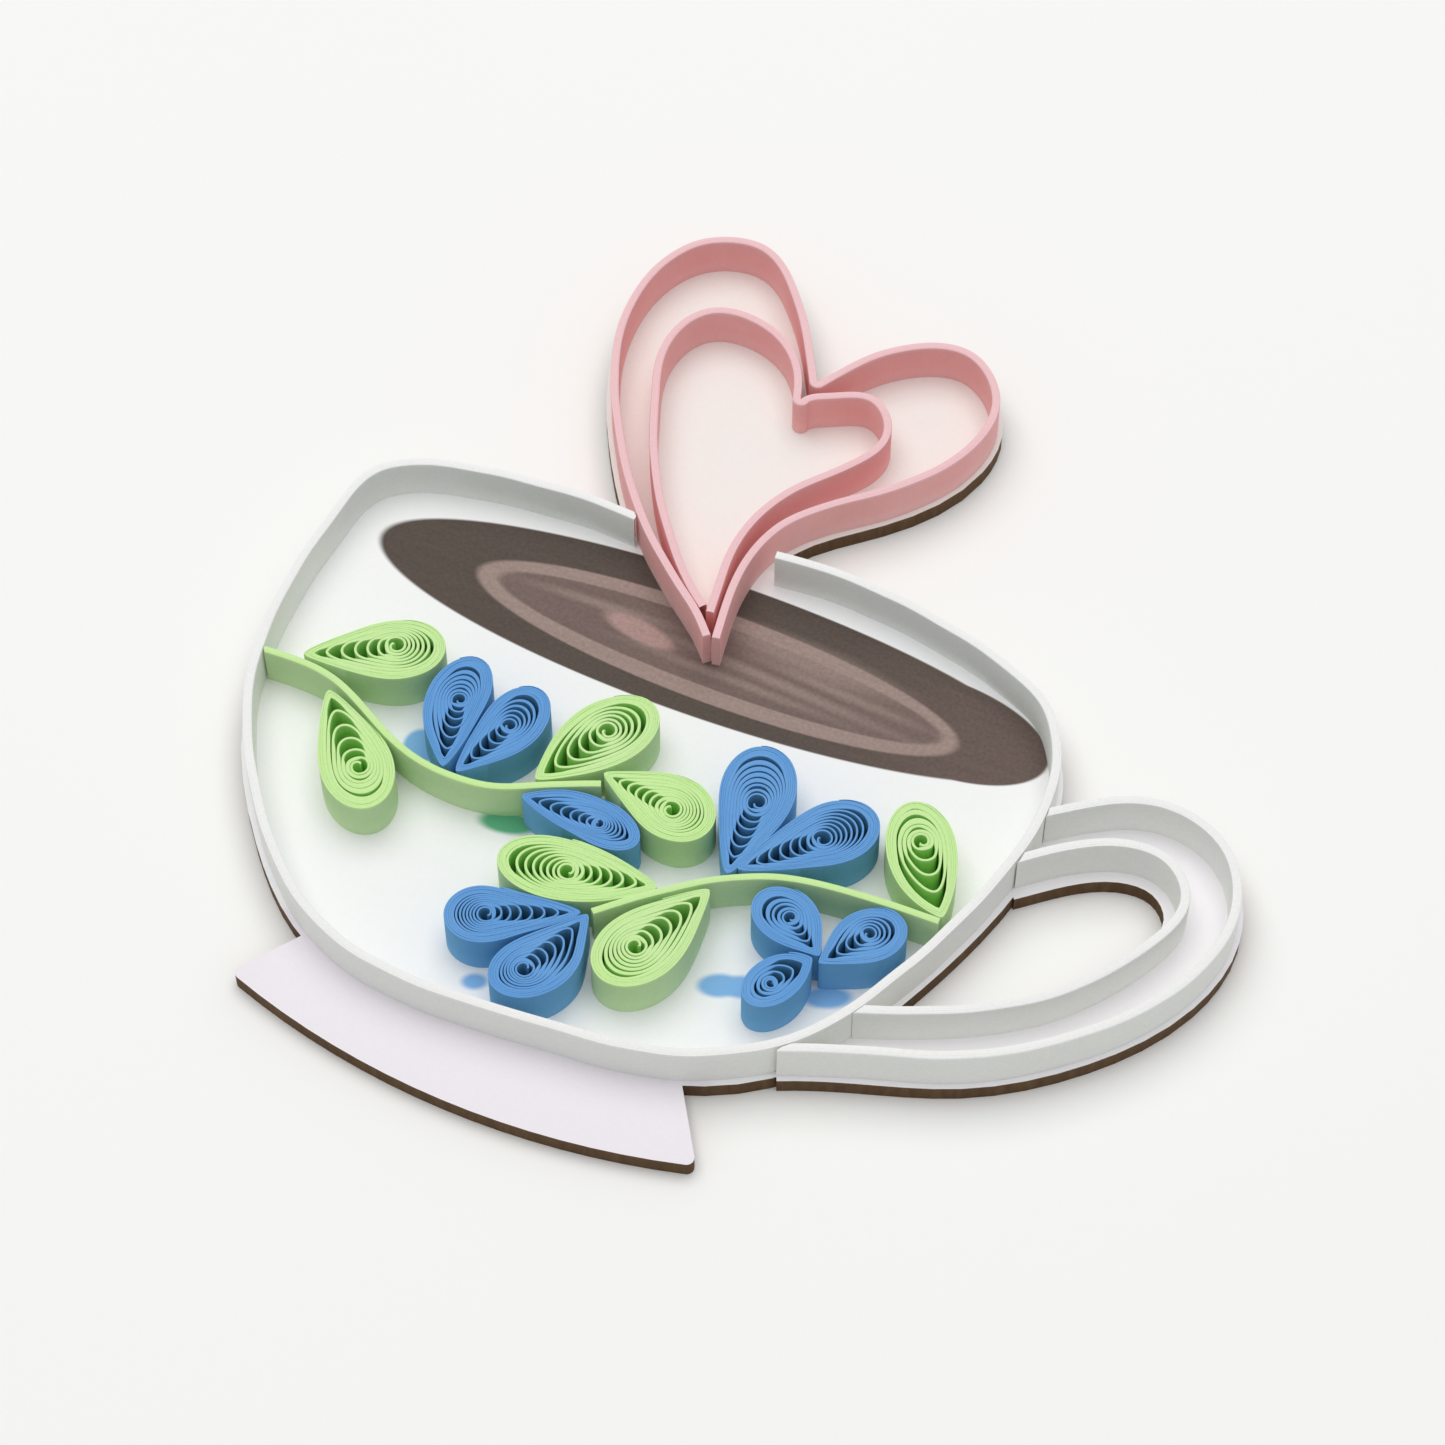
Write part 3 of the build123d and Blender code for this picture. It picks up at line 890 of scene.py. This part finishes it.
@dataclass(frozen=True)
class RolledCoil:
    """One narrow strip rolled up, let loose and pinched at its tip; lengths in millimetres.

    Attributes:
        node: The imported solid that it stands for.
        tip: Where it is pinched.
        middle: Middle of its round end.
        back: Half length of the round end's oval.
        flank: Half width of that oval.
        lean: Turn of that oval, in degrees.
        eye: Middle of its innermost turn.
        turns: Loose turns round the eye.
        back_slack: How open the turns lie at the round end: 0 pressed together, 1 loose.
        slot: The record's slot of its finish.
        seed: Number that picks its unevenness.
        paper: Thickness of a turn in millimetres.
    """

    node: str
    tip: Place
    middle: Place
    back: float
    flank: float
    lean: float
    eye: Place
    turns: int
    back_slack: float
    slot: Slot
    seed: int
    paper: float

    # Pressed turns: their width on the sides and at the tip, and their least number
    outer_band: float = 0.8
    tip_band: float = 1.0
    outer_turns: float = 2.85

    # Curl inside the eye: its turns, its narrowing, and the hook at the strip's inner end
    inner_turns: float = 1.2
    inner_shrink: float = 0.42
    hook_turns: float = 0.3
    hook_depth: float = 0.6

    # Radius of the eye's rim, as a share of the loose turns' half width, and its limits
    eye_share: float = 0.41
    smallest_eye: float = 0.65
    largest_eye: float = 1.28

    # Powers of the level by which backs and noses take up the coil's length
    back_opening: float = 1.6
    nose_opening: float = 1.25

    # Width of a nose as a share of its turn's, and the power that blends the two
    nose_spread: float = 1.12
    nose_blend: float = 14.0

    # How far a turn's tip draws back for each millimetre lost in width, the power of the level
    # by which it takes up the pinched end, and that end's spread and round in radians
    tip_pull: float = 2.2
    tip_blend: float = 12.0
    tip_spread: float = float(np.radians(16))
    tip_round: float = 0.04

    # Distances between turns: largest on the sides, least gap, pressed together, loose, and
    # what is taken where no turn lies below
    flank_pitch: float = 0.36
    least_gap: float = 0.012
    closed_pitch: float = 0.42
    open_pitch: float = 0.62
    free_pitch: float = 10.0

    # Share of half a turn past the tip where the back starts, and last winding that is loose there
    back_start: float = 0.35
    eye_gap: float = 2.3

    # Torn outer end: its heading in radians, and the part of a turn over which it thins, by this
    # share, and draws in, by this many thicknesses of paper
    hidden_side: float = float(np.radians(115))
    feathered: float = 0.12
    torn: float = 0.8
    inset: float = 0.85

    # Samples in a turn, and how far they crowd towards the tip: 0 even, 1 most
    samples_a_turn: int = 84
    crowding: float = 0.55

    # Upper edge: its rise and fall, their wavelengths, the round of its corners, and its bulge
    unevenness: float = 0.05
    waves: tuple[float, ...] = (5.0, 11.0, 23.0, 61.0)
    cut: float = 0.02
    crown: float = 0.005

    # Least thickness, least sine between the paper and the line to the turn below, and the turns
    # from the outer end whose outside lies in the open
    thinnest: float = 0.05
    least_slant: float = 0.2
    shown_turns: float = 1.02

    def inner_flank(self) -> float:
        """Half width of the loose turns together."""
        return self.flank - self.outer_band

    def rim(self) -> float:
        """Radius of the eye's rim."""
        return min(max(self.eye_share * self.inner_flank(), self.smallest_eye), self.largest_eye)

    def loose_turns(self) -> int:
        """Number of turns round the eye: the given one, or more where the sides would gape."""
        return max(self.turns, int((self.inner_flank() - self.rim()) / self.flank_pitch) + 1)

    def edge_distance(
        self, angle: np.ndarray, reach: Value, back: Value, flank: Value
    ) -> np.ndarray:
        """Distance from the middle to a pinched oval's edge.

        It is the leaning oval's own distance, plus what the tip adds, which dies away from the
        tip on both sides as exp(-angle / spread), with the fold itself slightly rounded.

        Args:
            angle: Angle from the tip, in radians.
            reach: Distance of the tip.
            back: Half length of the oval.
            flank: Its half width.

        Returns:
            The distance at each angle.
        """
        lean = np.radians(self.lean)

        def oval(turned: np.ndarray | float) -> np.ndarray:
            """Distance from the middle to the leaning oval."""
            return back * flank / np.hypot(
                flank * np.cos(turned - lean), back * np.sin(turned - lean)
            )

        aside = np.hypot(angle, self.tip_round) - self.tip_round
        return oval(angle) + (reach - oval(0.0)) * np.exp(-aside / self.tip_spread)

    def turn_points(self, winding: np.ndarray) -> np.ndarray:
        """Outside face of the paper after this many turns.

        Between the eye's rim at winding 1, level 0, and the pressed turns at level 1, a turn is
        the smaller of two shapes, blended by a high power: one that hugs the turn outside it
        along the flanks, and a nose-shaped oval that leaves crescents open towards the tip. Its
        middle slides from the eye to the coil's middle. The pressed turns go on from there in
        even steps to the coil's edge. Inside the eye the strip's end curls in.

        Args:
            winding: Turns from the strip's first; whole numbers lie at the tip.

        Returns:
            Array of x and y in millimetres.
        """
        middle = np.array(self.middle)
        eye = np.array(self.eye)
        axis = np.array(self.tip) - middle
        length = float(np.hypot(*axis))
        angle = (2 * np.pi * winding + np.pi) % (2 * np.pi) - np.pi
        heading = angle + np.arctan2(axis[1], axis[0])
        ray = np.stack((np.cos(heading), np.sin(heading)), axis=-1)

        inner_reach = length - self.tip_band
        inner_back = self.back - self.outer_band
        inner_flank = self.inner_flank()
        rim = self.rim()
        turns = self.loose_turns()

        level = np.clip((winding - 1) / (turns - 1), 0, 1)
        half_width = rim + (inner_flank - rim) * level
        hugging = self.edge_distance(
            angle,
            inner_reach - self.tip_pull * (1 - level) * (inner_flank - rim),
            half_width + (inner_back - inner_flank) * level**self.back_opening,
            half_width,
        )
        nose_length = rim + (inner_reach - rim) * level**self.nose_opening
        nose_width = self.nose_spread * half_width
        nose = nose_length * nose_width
        nose = nose / np.hypot(nose_width * np.cos(angle), nose_length * np.sin(angle))
        rounded = (hugging**-self.nose_blend + nose**-self.nose_blend) ** (-1 / self.nose_blend)
        pinched = self.edge_distance(angle, inner_reach, inner_back, inner_flank)
        reach = rounded + (pinched - rounded) * level**self.tip_blend

        curled = np.clip((1 - winding) / self.inner_turns, 0, 1)
        hooked = np.clip(1 - (winding - 1 + self.inner_turns) / self.hook_turns, 0, 1)
        reach = reach * (1 - self.inner_shrink * curled) * (1 - self.hook_depth * hooked**2)
        last = self.last_turn()
        pressed = np.clip((winding - turns) / (last - turns), 0, 1)
        edge = self.edge_distance(angle, length, self.back, self.flank)
        reach = reach + pressed * (edge - pinched) - self.inset * self.paper * self.thinned(winding)
        centre = eye + (middle - eye) * level[:, None]
        return centre + ray * reach[:, None]

    def last_turn(self) -> float:
        """Winding of the strip's outer end, which lies on the coil's hidden side."""
        towards_tip = np.arctan2(self.tip[1] - self.middle[1], self.tip[0] - self.middle[0])
        part = (self.hidden_side - towards_tip) / (2 * np.pi)
        least = self.loose_turns() + self.outer_turns
        return float(least + (part - least) % 1.0)

    def thinned(self, winding: np.ndarray) -> np.ndarray:
        """How far the torn outer end has thinned: 0 along the strip, 1 at its very end."""
        return np.clip(1 - (self.last_turn() - winding) / self.feathered, 0, 1)

    def pressed_share(self, winding: np.ndarray, room: np.ndarray) -> np.ndarray:
        """How much of the room between turns the pressed paper fills.

        Args:
            winding: Turns from the strip's first.
            room: Distance to the turn below, measured square to the paper.

        Returns:
            0 where the turns lie loose, 1 where they are pressed together: on the sides, where
            the room is small, and at the back beyond the eye's first gap. Slack loosens both
            at the back.
        """
        narrow = np.clip((self.open_pitch - room) / (self.open_pitch - self.closed_pitch), 0, 1)
        aside = np.abs((winding + 0.5) % 1.0 - 0.5) * 2
        back = np.clip(aside / self.back_start - 1, 0, 1) * np.clip(self.loose_turns() - winding, 0, 1)
        behind = back * np.clip(winding - self.eye_gap, 0, 1)
        return np.maximum(narrow * (1 - self.back_slack * back), (1 - self.back_slack) * behind)

    def windings(self) -> np.ndarray:
        """Turns at which the strip is sampled, closer together near the tip."""
        first = 1 - self.inner_turns
        last = self.last_turn()
        even = np.linspace(first, last, int(self.samples_a_turn * (last - first)))
        even = np.union1d(even, np.arange(np.ceil(first), last))
        shift = self.crowding * np.sin(2 * np.pi * even) / (2 * np.pi)
        return np.clip(even - shift, first, last)

    def mesh(self, drawing: Drawing) -> bpy.types.Mesh:
        """Winds the paper as one ribbon.

        The inside face lies one paper's thickness from the outside one, measured square to the
        paper, and never nearer than the least gap to the turn below. Where two turns come close
        to each other, the paper is taken a little thicker, so that they press together. At a
        fold the steeper of the two sides counts, which keeps the thickness up to the fold.

        Args:
            drawing: Gives the heights and the frame.

        Returns:
            The coil's mesh.
        """
        winding = self.windings()
        outside = self.turn_points(winding)
        inward = self.turn_points(winding - 1) - outside
        pitch = np.linalg.norm(inward, axis=1)
        inward /= pitch[:, None]
        pitch = np.where(winding < 2 - self.inner_turns, self.free_pitch, pitch)

        legs = np.diff(outside, axis=0)
        legs /= np.linalg.norm(legs, axis=1)[:, None]
        sides = np.stack((np.vstack((legs[:1], legs)), np.vstack((legs, legs[-1:]))))
        slant = np.abs(sides[..., 0] * inward[:, 1] - sides[..., 1] * inward[:, 0]).min(axis=0)
        room = pitch * slant
        filled = self.pressed_share(winding, room)
        thick = self.paper + filled * np.maximum(room - self.least_gap - self.paper, 0)
        depth = np.minimum(thick / np.maximum(slant, self.least_slant), pitch - self.least_gap)
        depth = np.maximum(depth, self.thinnest) * (1 - self.torn * self.thinned(winding))

        height = drawing.top - drawing.face
        uneven = self.unevenness * ripple(line_stations(outside), self.seed, self.waves)
        share = np.array((0.0, 0.0, 0.1, 0.5, 0.9, 1.0, 1.0))
        up = height + np.array((-height, -self.cut, 0.0, self.crown, 0.0, -self.cut, -height))
        flat = outside[:, None] + inward[:, None] * (depth[:, None] * share)[..., None]
        rise = up + (up > 0) * uneven[:, None]
        grid = np.concatenate((flat, (drawing.face + rise)[..., None]), axis=-1)
        # Mask of the painted light between turns: every face except the outside of the outer turn.
        outer_face = (winding[:, None] > self.last_turn() - self.shown_turns) & (share == 0)
        inside = np.where(outer_face, 0.0, 1.0)
        return ribbon_mesh(self.node, drawing.to_frame(grid), {"inside": inside})


# Sub-assemblies


@dataclass
class Teacup:
    """The white strips that draw the cup's outline and its handle."""

    paper: float = 1.0
    outline: Line = (
        (-12.6, 7.6), (-17.2, 7.75), (-21.8, 7.5), (-26.2, 7.05), (-30.7, 6.3), (-36.5, 4.55),
        (-40.6, 1.7), (-42.2, -5.0), (-42.4, -15.0), (-39.3, -29.8), (-30.6, -42.8),
        (-22.8, -49.6), (-13.7, -53.0), (4.5, -52.5), (19.0, -49.9), (29.6, -43.0),
        (35.4, -32.7), (39.3, -21.6), (41.2, -8.0), (40.3, -2.6), (38.9, 0.6), (36.3, 3.8),
        (33.2, 5.6), (30.5, 6.7), (25.3, 8.2), (20.3, 9.1), (15.3, 9.7), (10.6, 10.0), (3.1, 9.35),
    )
    handle_outer: Line = (
        (41.2, -9.0), (44.5, -6.3), (50.0, -3.1), (56.5, -3.0), (61.2, -6.3), (63.4, -12.0),
        (62.0, -20.5), (55.0, -30.6), (45.0, -38.2), (35.0, -42.2), (28.2, -45.1),
    )
    handle_inner: Line = (
        (40.7, -15.4), (45.0, -11.6), (50.0, -8.7), (55.0, -8.6), (58.2, -12.0),
        (57.0, -18.5), (50.0, -28.4), (40.0, -35.0), (32.8, -38.2),
    )

    def strips(self, heart_stops: tuple[tuple[Line, float], ...]) -> list[PaperStrip]:
        """The cup's strip, which butts on the heart, and the handle's two, which butt on it."""
        cup_stop = ((self.outline, self.paper),)
        return [
            PaperStrip("cup_outline_strip", (self.outline,), self.paper, Slot.WHITE,
                       heart_stops, seed=3, wave=0.09),
            PaperStrip("handle_outer_strip", (self.handle_outer,), self.paper, Slot.WHITE,
                       cup_stop, seed=4),
            PaperStrip("handle_inner_strip", (self.handle_inner,), self.paper, Slot.WHITE,
                       cup_stop, seed=5),
        ]


@dataclass
class Heart:
    """The two folded pink strips, one heart inside the other."""

    paper: float = 0.9
    outer_left: Line = (
        (0.9, -3.3), (-1.2, -1.2), (-4.8, 1.6), (-13.6, 9.6), (-20.5, 19.2), (-25.4, 30.0),
        (-25.9, 38.5), (-22.8, 45.4), (-16.3, 47.7), (-10.5, 43.7), (-5.2, 36.2), (-2.6, 31.7),
    )
    outer_right: Line = (
        (-2.6, 31.7), (-0.5, 35.6), (4.9, 41.7), (10.6, 43.5), (16.0, 39.0), (16.4, 32.6),
        (9.8, 21.9), (2.3, 13.8), (0.5, 6.9), (1.0, 1.5), (1.9, -3.2),
    )
    inner_left: Line = (
        (-1.1, 0.0), (-3.6, 2.0), (-6.4, 4.8), (-12.8, 13.1), (-18.4, 24.5), (-20.0, 30.8),
        (-17.5, 36.9), (-11.7, 37.7), (-6.3, 34.6), (-4.6, 31.9), (-3.35, 28.6),
    )
    inner_right: Line = (
        (-3.35, 28.6), (-2.5, 30.3), (-0.6, 31.5), (3.7, 33.1), (7.1, 29.6), (5.6, 24.2), (1.4, 18.5),
        (-1.3, 11.0), (-0.9, 4.0), (-0.1, -0.4),
    )

    def stops(self) -> tuple[tuple[Line, float], ...]:
        """The outer strip's legs, for what butts on them."""
        return ((self.outer_left, self.paper), (self.outer_right, self.paper))

    def strips(self) -> list[PaperStrip]:
        """The outer strip, and the inner one that butts on it."""
        return [
            PaperStrip("heart_outer_strip", (self.outer_left, self.outer_right), self.paper,
                       Slot.PINK, seed=6),
            PaperStrip("heart_inner_strip", (self.inner_left, self.inner_right), self.paper,
                       Slot.PINK, self.stops(), seed=7),
        ]


CoilNumbers = tuple[Place, Place, float, float, float, Place, int, float]


@dataclass
class Vine:
    """The two green stems, the green leaf coils and the blue petal coils.

    A coil's numbers are its tip, middle, half length at the back, half width, lean in degrees,
    eye, loose turns, and how open its round end is.
    """

    stem_paper: float = 0.8
    stem_left: Line = (
        (-41.1, -24.6), (-35.5, -24.3), (-31.8, -24.8), (-23.0, -28.9), (-14.4, -30.3),
        (-10.0, -29.3), (-5.7, -27.0), (-1.0, -24.7),
    )
    stem_right: Line = (
        (4.9, -38.8), (8.0, -35.7), (13.5, -30.9), (20.6, -27.1), (30.5, -25.5), (36.9, -25.1),
    )
    leaves: tuple[CoilNumbers, ...] = (
        ((-36.5, -23.4), (-27.6, -18.6), 5.0, 3.9, 2, (-28.0, -18.2), 7, 0.9),
        ((-32.0, -26.1), (-24.6, -33.6), 5.3, 3.9, -1, (-24.4, -33.4), 5, 0.15),
        ((-7.4, -27.2), (-3.1, -18.6), 5.8, 4.1, -4, (-3.2, -18.5), 6, 0.9),
        ((-1.5, -23.4), (7.0, -24.2), 4.7, 3.9, -10, (7.0, -24.5), 8, 0.9),
        ((9.7, -33.5), (-1.0, -35.8), 6.0, 3.8, -3, (0.5, -35.6), 8, 1.0),
        ((14.5, -31.5), (10.9, -40.6), 5.4, 4.2, -2, (10.6, -40.7), 7, 0.6),
        ((37.1, -24.7), (31.8, -18.0), 5.9, 3.7, -7, (31.5, -17.1), 5, 0.15),
    )
    leaf_paper: float = 0.26
    petals: tuple[CoilNumbers, ...] = (
        ((-16.6, -29.8), (-19.4, -20.9), 5.0, 3.3, -15, (-18.9, -21.5), 7, 0.45),
        ((-15.2, -29.8), (-12.5, -21.3), 4.6, 3.3, 13, (-12.7, -22.2), 6, 0.8),
        ((-7.9, -29.5), (0.9, -29.0), 4.8, 2.7, -12, (1.0, -29.2), 8, 0.9),
        ((15.3, -29.2), (13.8, -18.3), 5.3, 4.0, 8, (14.5, -19.9), 8, 0.4),
        ((15.9, -28.2), (23.2, -19.8), 4.7, 3.8, 1, (22.4, -21.1), 8, 1.0),
        ((4.0, -39.4), (-5.1, -43.8), 3.9, 3.5, -3, (-4.7, -43.6), 8, 0.9),
        ((4.7, -39.3), (2.3, -47.0), 4.8, 3.6, -21, (1.7, -47.7), 7, 0.7),
        ((27.8, -33.9), (22.6, -31.0), 3.9, 3.2, 10, (23.2, -31.0), 5, 0.45),
        ((27.9, -34.8), (31.3, -29.5), 3.9, 3.2, -9, (31.2, -29.4), 5, 0.9),
        ((27.2, -34.4), (24.7, -38.4), 3.8, 2.7, 9, (24.6, -38.8), 4, 0.3),
    )
    petal_paper: float = 0.2

    def stems(self, cup_stop: tuple[tuple[Line, float], ...]) -> list[PaperStrip]:
        """Both stems, which butt on the cup's strip."""
        return [
            PaperStrip("stem_left", (self.stem_left,), self.stem_paper, Slot.GREEN, cup_stop, seed=8),
            PaperStrip("stem_right", (self.stem_right,), self.stem_paper, Slot.GREEN, cup_stop, seed=9),
        ]

    def coils(self) -> list[RolledCoil]:
        """All leaf and petal coils."""
        kinds = (
            ("leaf", self.leaves, Slot.GREEN, 100, self.leaf_paper),
            ("petal", self.petals, Slot.BLUE, 200, self.petal_paper),
        )
        return [
            RolledCoil(f"{kind}_coil_{number}", *coil, slot, seed + number, paper)
            for kind, coils, slot, seed, paper in kinds
            for number, coil in enumerate(coils, start=1)
        ]


# Studio


@dataclass(frozen=True)
class Studio:
    """Pale floor, soft lights and the camera at the photograph's angle.

    Attributes:
        azimuth: Camera's turn round the object, in degrees from straight below the cup.
        elevation: Its height above the horizon, in degrees.
        distance: Its distance from where it aims, in metres.
        aim: The point in the middle of the picture.
        focal_pixels: Focal length in pixels of the photograph.
        picture_pixels: The photograph's width.
        sensor: Width of the camera's sensor, in millimetres.
        floor_half: Half width of the floor, in metres.
        floor_colour: Its colour.
        floor_shade: Light of its darker patches, as a share of the rest.
        floor_clouds: Such patches in a metre.
        backdrop_colour: What the camera sees beyond it.
        sky_colour: Colour of the light from all round.
        sky_light: Its strength.
        lamp_colour: Colour of the lamp.
        lamp_watts: Its power.
        lamp_size: Its width, in metres.
        lamp_place: Where it hangs, in metres.
    """

    azimuth: float = 25.1
    elevation: float = 56.0
    distance: float = 0.414
    aim: Point = (-0.0034, -0.0060, 0.0070)
    focal_pixels: float = 4000.0
    picture_pixels: float = 1445.0
    sensor: float = 36.0
    floor_half: float = 2.5
    floor_colour: Colour = (0.975, 0.973, 0.96)
    floor_shade: float = 0.985
    floor_clouds: float = 9.0
    backdrop_colour: Colour = (0.95, 0.95, 0.94)
    sky_colour: Colour = (0.965, 0.985, 1.0)
    sky_light: float = 0.45
    lamp_colour: Colour = (1.0, 0.985, 0.96)
    lamp_watts: float = 17.0
    lamp_size: float = 1.6
    lamp_place: Point = (-0.24, 0.30, 1.50)

    def add_floor(self) -> None:
        """Lays a large pale table top under the card."""
        half = self.floor_half
        mesh = bpy.data.meshes.new("table_top")
        corners = [(-half, -half, 0), (half, -half, 0), (half, half, 0), (-half, half, 0)]
        mesh.from_pydata(corners, [], [(0, 1, 2, 3)])
        bench = Bench(bpy.data.materials.new("pale_table"))
        darker = tuple(value * self.floor_shade for value in self.floor_colour)
        soft = bench.noise(bench.object_place(), self.floor_clouds, 2.0)
        colour = bench.blend(soft, self.floor_colour, darker)
        mesh.materials.append(bench.finish(colour, 0.9, None))
        add_object("table_top", mesh)

    def add_lights(self) -> None:
        """Hangs one large soft lamp up on the left and lights the rest from all round."""
        lamp = bpy.data.lights.new("window_light", "AREA")
        lamp.shape = "SQUARE"
        lamp.size = self.lamp_size
        lamp.energy = self.lamp_watts
        lamp.color = self.lamp_colour
        holder = add_object("window_light", lamp)
        holder.location = self.lamp_place
        holder.rotation_euler = (-Vector(self.lamp_place)).to_track_quat("-Z", "Y").to_euler()

        bpy.context.scene.view_settings.view_transform = "Standard"
        world = bpy.data.worlds.new("studio")
        bpy.context.scene.world = world
        bench = Bench(world)
        ray = bench.node("LightPath").outputs
        seen = bench.maths("MAXIMUM", ray["Is Camera Ray"], ray["Is Glossy Ray"])
        sky = bench.node("Background", self.sky_colour, self.sky_light).outputs[0]
        backdrop = bench.node("Background", self.backdrop_colour).outputs[0]
        mix = bench.node("MixShader", seen, sky, backdrop)
        bench.node("OutputWorld", mix.outputs[0])

    def add_camera(self) -> None:
        """Sets up the camera, with its right side level with the floor."""
        turn, rise = np.radians((self.azimuth, self.elevation))
        back = Vector((np.sin(turn) * np.cos(rise), -np.cos(turn) * np.cos(rise), np.sin(rise)))
        right = Vector((np.cos(turn), np.sin(turn), 0))
        up = back.cross(right)
        place = Vector(self.aim) + back * self.distance
        data = bpy.data.cameras.new("camera")
        data.sensor_width = self.sensor
        data.lens = self.sensor * self.focal_pixels / self.picture_pixels
        data.clip_start = 0.01
        camera = add_object("camera", data)
        axes = Matrix((right, up, back)).transposed().to_4x4()
        camera.matrix_world = Matrix.Translation(place) @ axes
        bpy.context.scene.camera = camera


def dress_card(drawing: Drawing) -> None:
    """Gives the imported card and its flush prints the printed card's material."""
    material = PrintedCard().material(drawing)
    for name in PRINTED_NODES:
        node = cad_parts[name]
        for slot in node.material_slots:
            slot.material = material
        log.info("%s: %d material slots dressed", name, len(node.material_slots))


def main() -> None:
    logging.basicConfig(level=logging.INFO, format="%(message)s")
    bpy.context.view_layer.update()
    drawing = Drawing.from_frame()
    studio = Studio()
    studio.add_camera()
    studio.add_floor()
    studio.add_lights()
    dress_card(drawing)

    papers = {slot: paper.material(drawing) for slot, paper in PAPERS.items()}
    cup, heart, vine = Teacup(), Heart(), Vine()
    pieces: list[PaperStrip | RolledCoil] = [
        *cup.strips(heart.stops()),
        *heart.strips(),
        *vine.stems(((cup.outline, cup.paper),)),
        *vine.coils(),
    ]
    for piece in pieces:
        add_piece(piece.mesh(drawing), piece.node, papers[piece.slot])


if __name__ == "__main__":
    main()
